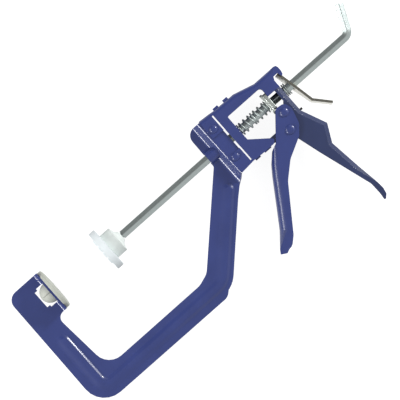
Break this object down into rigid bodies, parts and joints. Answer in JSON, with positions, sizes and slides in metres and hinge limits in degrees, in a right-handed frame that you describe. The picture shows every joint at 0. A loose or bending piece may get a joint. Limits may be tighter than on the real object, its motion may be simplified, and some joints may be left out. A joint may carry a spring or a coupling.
{
  "type": "quick release bar clamp",
  "caption": "One-handed C-frame clamp: a squeeze trigger steps a hexagonal rod with a swivel pad, and a thumb lever frees it.",
  "frame": {"origin": "working face of the fixed jaw pad, on the axis of the rod", "axes": "+X along the rod towards its bent end, -Y into the throat, +Z across the width, out of the pictured side"},
  "size_m": [0.3818, 0.1547, 0.0386],
  "materials": {
    "blue_paint": "gloss enamel",
    "rod_steel": "drawn bar, bright",
    "plate_steel": "zinc plated",
    "spring_steel": "zinc plated wire",
    "lever_steel": "yellowish zinc plate",
    "dark_steel": "black oxide",
    "beige_plastic": "moulded nylon",
    "grey_plastic": "moulded nylon",
    "white_plastic": "moulded nylon"
  },
  "bodies": {
    "frame": {"frame_half_top": "blue_paint", "frame_half_bottom": "blue_paint", "fixed_jaw_pad": "beige_plastic", "receiver_channel": "blue_paint", "handle_channel": "blue_paint", "rod_guide": "blue_paint", "head_rivets": "blue_paint", "head_spacers": "plate_steel", "stop_pin": "dark_steel", "main_spring": "spring_steel", "release_spring": "spring_steel", "trigger_pivot_rivet": "blue_paint", "pivot_sleeve": "plate_steel"},
    "trigger_body": {"trigger": "blue_paint", "pusher_rivet": "blue_paint", "pusher_sleeve": "plate_steel"},
    "drive": {"drive_plate_front": "plate_steel", "drive_plate_rear": "plate_steel"},
    "release": {"release_lever": "lever_steel"},
    "rod": {"hex_rod": "rod_steel"},
    "cup": {"swivel_cup": "grey_plastic"},
    "pad": {"swivel_pad": "white_plastic"}
  },
  "joints": [
    {"name": "trigger_squeeze", "type": "hinge", "parent": "frame", "child": "trigger_body", "pos_m": [0.2375, -0.0278, 0], "axis": [0, 0, 1], "range_deg": [0, 35], "stiffness_Nm_per_rad": 0.6, "springref_deg": -17.19},
    {"name": "drive_slide", "type": "slide", "parent": "frame", "child": "drive", "axis": [-1, 0, 0], "range_m": [0, 0.0096], "deforming": ["main_spring"]},
    {"name": "rod_slide", "type": "slide", "parent": "frame", "child": "rod", "axis": [1, 0, 0], "range_m": [-0.0465, 0.094]},
    {"name": "jaw_tilt", "type": "hinge", "parent": "rod", "child": "cup", "pos_m": [0.0624, 0, 0], "axis": [0, 0, 1], "range_deg": [-6, 6]},
    {"name": "pad_spin", "type": "hinge", "parent": "cup", "child": "pad", "pos_m": [0.0624, 0, 0], "axis": [1, 0, 0], "continuous": true},
    {"name": "release_tilt", "type": "hinge", "parent": "frame", "child": "release", "pos_m": [0.2596, 0.0148, 0], "axis": [0, 0, 1], "range_deg": [-12.4, 0], "stiffness_Nm_per_rad": 0.5, "springref_deg": 17.19, "deforming": ["release_spring"]}
  ],
  "couplings": [
    {"joint": "drive_slide", "follows": "trigger_squeeze", "m_per_rad": 0.0152}
  ]
}
